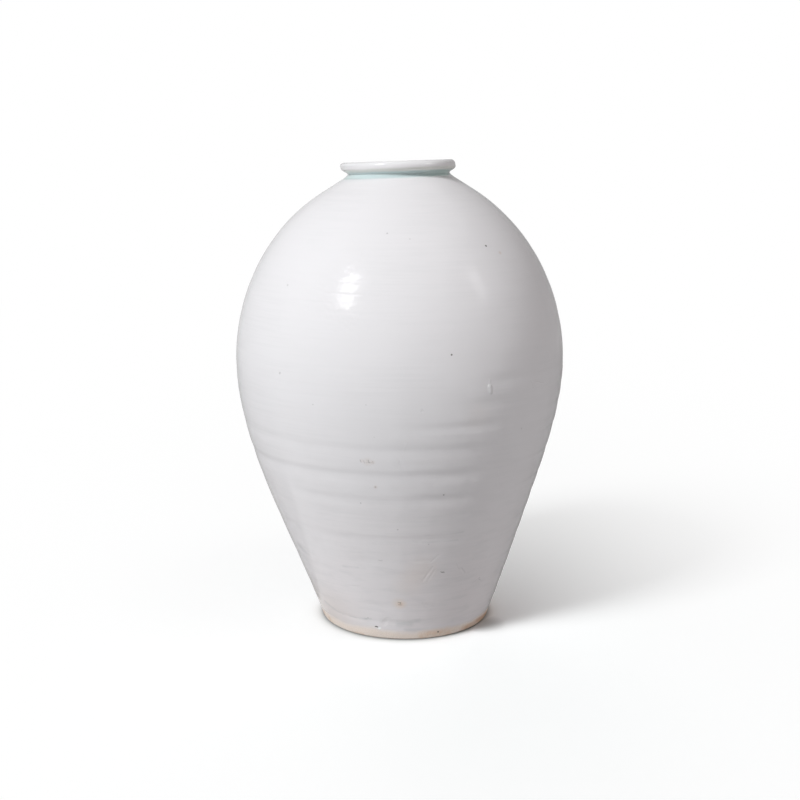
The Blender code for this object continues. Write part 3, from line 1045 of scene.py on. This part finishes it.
# %% Floor
bounce_grey, seen_white = (0.57, 0.57, 0.57, 1), (1.10, 1.10, 1.10, 1)
pure_white, black = (1, 1, 1, 1), (0, 0, 0, 1)
shadow_middle, shadow_squash = (0.085, -0.0135, 0.0), (1.0, 0.45, 1.0)
shadow_core, shadow_fade = 0.02, 0.14
# Strength and reach of the painted contact shade round the foot, and of a painted shade patch at its front
# right
painted_contact_shade_strength, painted_contact_shade_fade = 0.66, 0.0038
painted_corner_shade_place, painted_corner_shade_strength = (0.072, -0.036, 0.0), 0.42

bpy.ops.object.select_all(action="DESELECT")
bpy.ops.mesh.primitive_plane_add(size=14.0, location=(0.0, 0.0, 0.0))
ground = bpy.context.object
ground.name = "floor"
floor_material, tree, place = start_material("white_sweep")
ground.data.materials.append(floor_material)
tree.nodes.remove(tree.nodes["Principled BSDF"])
seen = looking_rays(tree)


# %% How far the floor has faded to white, and the painted shade beside the foot
def distance_past(tree, place, middle, start):
    distance = vector_calc(tree, "DISTANCE", place, middle, output="Value")
    return calc(tree, "MAXIMUM", calc(tree, "SUBTRACT", distance, start), 0.0)


def dying_away(tree, distance, fade):
    return calc(tree, "EXPONENT", calc(tree, "DIVIDE", distance, -fade))


squashed = vector_calc(tree, "MULTIPLY", place, shadow_squash)
past_shadow = distance_past(tree, squashed, shadow_middle, shadow_core)
faded = calc(tree, "SUBTRACT", 1.0, dying_away(tree, past_shadow, shadow_fade))
# Painted shade: the floor's colour is darkened in a ring round the foot and in a patch at its front right,
# standing in for the contact shadow
past_foot = distance_past(tree, place, (foot_shift, 0.0, 0.0), foot_radius)
painted_ring_shade = calc(tree, "MULTIPLY", dying_away(tree, past_foot, painted_contact_shade_fade), painted_contact_shade_strength)
from_painted_corner_shade = vector_calc(tree, "DISTANCE", place, painted_corner_shade_place, output="Value")
painted_contact_shade = calc(tree, "MAXIMUM", painted_ring_shade, ramp(tree, from_painted_corner_shade, 0.004, 0.030, painted_corner_shade_strength, 0.0))

# %% Shaders of the floor
# The painted contact shade darkens both the lit colour and the white glow of the floor
seen_color = blend_color(tree, painted_contact_shade, seen_white, black)
lit = add(tree, "ShaderNodeBsdfDiffuse", {"Color": blend_color(tree, seen, bounce_grey, seen_color)})
white = add(tree, "ShaderNodeEmission",
            {"Color": blend_color(tree, painted_contact_shade, pure_white, black), "Strength": 1.0})
mixed = add(tree, "ShaderNodeMixShader",
            {0: calc(tree, "MULTIPLY", faded, seen), 1: lit.outputs[0], 2: white.outputs[0]})
see_through = add(tree, "ShaderNodeBsdfTransparent")
from_below = add(tree, "ShaderNodeNewGeometry").outputs["Backfacing"]
one_sided = add(tree, "ShaderNodeMixShader", {0: from_below, 1: mixed.outputs[0], 2: see_through.outputs[0]})
tree.links.new(one_sided.outputs[0], tree.nodes["Material Output"].inputs["Surface"])
print("floor has", len(tree.nodes), "nodes")

# %% Faint light from the room, which a camera or a gloss sees as white
world = bpy.data.worlds.new("white_room")
bpy.context.scene.world = world
world.use_nodes = True
tree = world.node_tree
room_grey = (0.058, 0.058, 0.058, 1)
room_color = blend_color(tree, looking_rays(tree), room_grey, pure_white)
tree.links.new(room_color, tree.nodes["Background"].inputs["Color"])
tree.nodes["Background"].inputs["Strength"].default_value = 1.0

# %% Soft lamps, each given by its direction, the angles it spans and how bright its face is
lamp_distance = 8.0
aim = Vector((0.0, 0.0, 0.20))


def soft_lamp(name, azimuth, elevation, width, height, face, color):
    """Azimuth is from the front towards the right. The face is as bright as a white of that strength."""
    around, up = math.radians(azimuth), math.radians(elevation)
    towards = Vector((math.sin(around) * math.cos(up), -math.cos(around) * math.cos(up), math.sin(up)))
    data = bpy.data.lights.new(name, "AREA")
    data.shape = "RECTANGLE"
    data.size = 2 * lamp_distance * math.tan(math.radians(width / 2))
    data.size_y = 2 * lamp_distance * math.tan(math.radians(height / 2))
    data.energy = face * math.pi * data.size * data.size_y
    data.color = color
    lamp = bpy.data.objects.new(name, data)
    bpy.context.scene.collection.objects.link(lamp)
    lamp.location = aim + towards * lamp_distance
    lamp.rotation_euler = towards.to_track_quat("Z", "Y").to_euler()
    lamp.visible_camera = False
    print(name, "W:", round(data.energy))
    return lamp


# %% Lamps that light the clay, and lamps that show only as a gleam in the glaze
# azimuth, elevation, width and height in degrees, brightness of the face, colour
glow_lamps = {
    "large_soft_lamp": (-47.5, 38, 13, 20, 36.1, (0.965, 1.0, 1.005)),
    "side_lamp": (78, 9, 28, 16, 3.5, (1.0, 0.955, 0.945)),
    "top_lamp": (58, 60, 20, 20, 4.2, (1.0, 0.98, 0.97)),
    "back_lamp": (185, 25, 40, 30, 1.6, (1.0, 1.0, 1.0)),
}
gleam_lamps = {
    "left_gleam": (-43.6, 38, 13, 20, 10.0, (1.0, 1.0, 1.0)),
    "right_gleam": (70, 36, 9, 16, 3.6, (1.0, 1.0, 1.0)),
}
for name, settings in glow_lamps.items():
    soft_lamp(name, *settings).visible_glossy = False
for name, settings in gleam_lamps.items():
    soft_lamp(name, *settings).visible_diffuse = False

# %% [markdown]
# ## Three grey screens
# A white pot before a white sweep loses its edges, so a photographer stands grey screens round it,
# two behind and one in front on the right, and lets their lower parts lie on the table. Here only
# reflections see them: they give the glaze its quiet rims. Each is a bent line spun through a
# quarter turn.

# %% Screens
# start angle, height in metres, grey of the part on the table, grey of the upright part
screens = (
    ("grey_screen_front_right", 0, 0.80, 0.33, 0.33),
    ("grey_screen_back_right", 90, 2.00, 0.27, 0.40),
    ("grey_screen_back_left", 180, 2.00, 0.46, 0.58),
)
near_radius, far_radius, off_table, grey_change_height = 0.085, 1.3, 0.0004, 0.15
for name, start_angle, screen_height, low_grey, high_grey in screens:
    screen_outline = ((near_radius, off_table), (far_radius, off_table), (far_radius, screen_height))
    screen = turn(name, screen_outline, steps=24, angle=math.radians(90))
    bpy.ops.object.select_all(action="DESELECT")
    screen.select_set(True)
    screen.rotation_euler = (0.0, 0.0, math.radians(start_angle))
    bpy.ops.object.transform_apply(rotation=True)
    screen_material, tree, place = start_material(name)
    tree.nodes.remove(tree.nodes["Principled BSDF"])
    level = add(tree, "ShaderNodeSeparateXYZ", {"Vector": place}).outputs["Z"]
    grey = ramp(tree, level, 0.0, grey_change_height, low_grey, high_grey)
    grey_face = add(tree, "ShaderNodeEmission", {"Color": pure_white, "Strength": grey})
    tree.links.new(grey_face.outputs[0], tree.nodes["Material Output"].inputs["Surface"])
    screen.data.materials.append(screen_material)
    for kind in ("camera", "diffuse", "transmission", "volume_scatter", "shadow"):
        setattr(screen, "visible_" + kind, False)

# %% [markdown]
# ## The camera
# It stands just over a metre away, level with the rim, and looks down a little.

# %% Camera
camera_data = bpy.data.cameras.new("camera")
camera_data.lens = 54.48
camera_data.sensor_width = 36.0
camera = bpy.data.objects.new("camera", camera_data)
bpy.context.scene.collection.objects.link(camera)
camera.location = (0.00035, -1.046, 0.400)
camera.rotation_euler = (math.radians(90 - 11.17), 0.0, 0.0)
bpy.context.scene.camera = camera
bpy.context.scene.view_settings.view_transform = "Standard"

# %% The json module, imported once more
import json
